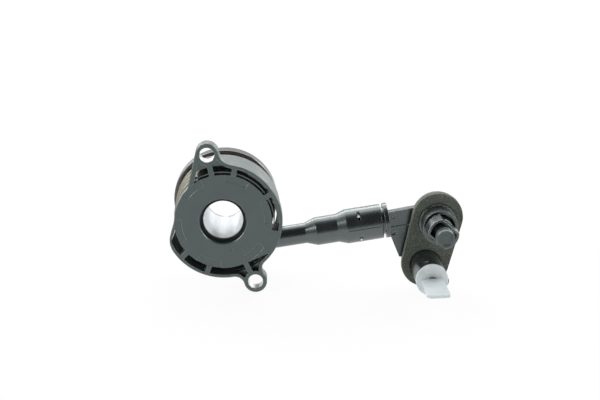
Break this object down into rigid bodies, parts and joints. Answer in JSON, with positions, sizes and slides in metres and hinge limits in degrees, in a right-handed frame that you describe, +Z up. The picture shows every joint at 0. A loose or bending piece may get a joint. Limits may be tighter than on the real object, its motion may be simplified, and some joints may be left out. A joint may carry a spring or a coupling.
{
  "type": "clutch slave cylinder",
  "caption": "Concentric hydraulic clutch slave cylinder with release bearing, preload spring, feed pipe, and an adaptor with a plugged line port and a capped bleed screw.",
  "frame": {"origin": "on the guide tube's axis, in the plane of the mounting face that bolts to the gearbox", "axes": "+Y along the clutch axis from the gearbox to the release bearing, +X towards the feed pipe and adaptor, +Z up"},
  "size_m": [0.1656, 0.1012, 0.0878],
  "materials": {
    "housing": "dark grey glass-filled nylon, satin",
    "ear_sleeves": "bright drawn steel",
    "guide_tube": "drawn steel, slightly warm",
    "gearbox_seal": "black rubber, matte",
    "tube_seal": "black rubber, matte",
    "stop_ring": "bright drawn steel",
    "annular_piston": "moulded piston",
    "piston_seal": "black rubber, matte",
    "seal_support_ring": "hard plastic ring",
    "wiper_ring": "black rubber, matte",
    "preload_spring": "coated spring wire",
    "bearing_carrier": "dark phosphated sheet steel",
    "centring_washer": "bright drawn steel",
    "bearing_fixed_race": "bright drawn steel",
    "bearing_rotating_race": "bright drawn steel",
    "bearing_cage": "moulded ball cage",
    "bearing_balls": "polished steel balls",
    "bearing_shield": "bright drawn steel",
    "feed_pipe": "dark grey glass-filled nylon, satin",
    "pipe_clip": "bright drawn steel",
    "adaptor": "dark grey glass-filled nylon, satin",
    "adaptor_o_rings": "black rubber, matte",
    "adaptor_gasket": "closed-cell foam",
    "bleed_screw": "grey moulded screw",
    "bleed_o_rings": "black rubber, matte",
    "bleed_cap": "grey rubber cap",
    "line_port_o_ring": "black rubber, matte",
    "line_clip": "bright drawn steel",
    "transport_plug": "pale blue-white plastic"
  },
  "bodies": {
    "housing_body": {"housing": "housing", "guide_tube": "guide_tube", "tube_seal": "tube_seal", "gearbox_seal": "gearbox_seal", "ear_sleeves": "ear_sleeves", "stop_ring": "stop_ring", "preload_spring": "preload_spring", "feed_pipe": "feed_pipe", "adaptor": "adaptor", "adaptor_o_rings": "adaptor_o_rings", "adaptor_gasket": "adaptor_gasket", "line_port_o_ring": "line_port_o_ring"},
    "piston": {"annular_piston": "annular_piston", "piston_seal": "piston_seal", "seal_support_ring": "seal_support_ring", "wiper_ring": "wiper_ring", "bearing_carrier": "bearing_carrier", "centring_washer": "centring_washer", "bearing_fixed_race": "bearing_fixed_race", "bearing_shield": "bearing_shield"},
    "rotating_race": {"bearing_rotating_race": "bearing_rotating_race"},
    "ball_cage": {"bearing_cage": "bearing_cage", "bearing_balls": "bearing_balls"},
    "bleed_seals": {"bleed_o_rings": "bleed_o_rings"},
    "bleed_screw_body": {"bleed_screw": "bleed_screw"},
    "bleed_cap_body": {"bleed_cap": "bleed_cap"},
    "plug_body": {"transport_plug": "transport_plug"},
    "pipe_clip_body": {"pipe_clip": "pipe_clip"},
    "line_clip_body": {"line_clip": "line_clip"}
  },
  "joints": [
    {"name": "piston_slide", "type": "slide", "parent": "housing_body", "child": "piston", "axis": [0, 1, 0], "range_m": [-0.014, 0], "stiffness_N_per_m": 3000, "springref_m": 0.02, "deforming": ["preload_spring"]},
    {"name": "bearing_spin", "type": "hinge", "parent": "piston", "child": "rotating_race", "pos_m": [0, 0.048, 0], "axis": [0, 1, 0], "continuous": true},
    {"name": "cage_spin", "type": "hinge", "parent": "piston", "child": "ball_cage", "pos_m": [0, 0.048, 0], "axis": [0, 1, 0], "continuous": true},
    {"name": "bleed_lift", "type": "slide", "parent": "housing_body", "child": "bleed_seals", "axis": [0.0872, -0.9962, 0], "range_m": [0, 0.0015]},
    {"name": "bleed_screw_turn", "type": "hinge", "parent": "bleed_seals", "child": "bleed_screw_body", "pos_m": [0.121, 0.00451, -0.00152], "axis": [0.0872, -0.9962, 0], "range_deg": [0, 360]},
    {"name": "bleed_cap_pull", "type": "slide", "parent": "bleed_screw_body", "child": "bleed_cap_body", "axis": [0.0872, -0.9962, 0], "range_m": [0, 0.016]},
    {"name": "plug_pull", "type": "slide", "parent": "housing_body", "child": "plug_body", "axis": [0.0872, -0.9962, 0], "range_m": [0, 0.03]},
    {"name": "pipe_clip_pull", "type": "slide", "parent": "housing_body", "child": "pipe_clip_body", "axis": [-0.0872, 0.9962, 0], "range_m": [0, 0.018]},
    {"name": "line_clip_pull", "type": "slide", "parent": "housing_body", "child": "line_clip_body", "axis": [0.7631, 0.0668, -0.6428], "range_m": [0, 0.016]}
  ],
  "couplings": [
    {"joint": "cage_spin", "follows": "bearing_spin", "ratio": 0.456},
    {"joint": "bleed_lift", "follows": "bleed_screw_turn", "m_per_rad": 0.00023873}
  ]
}
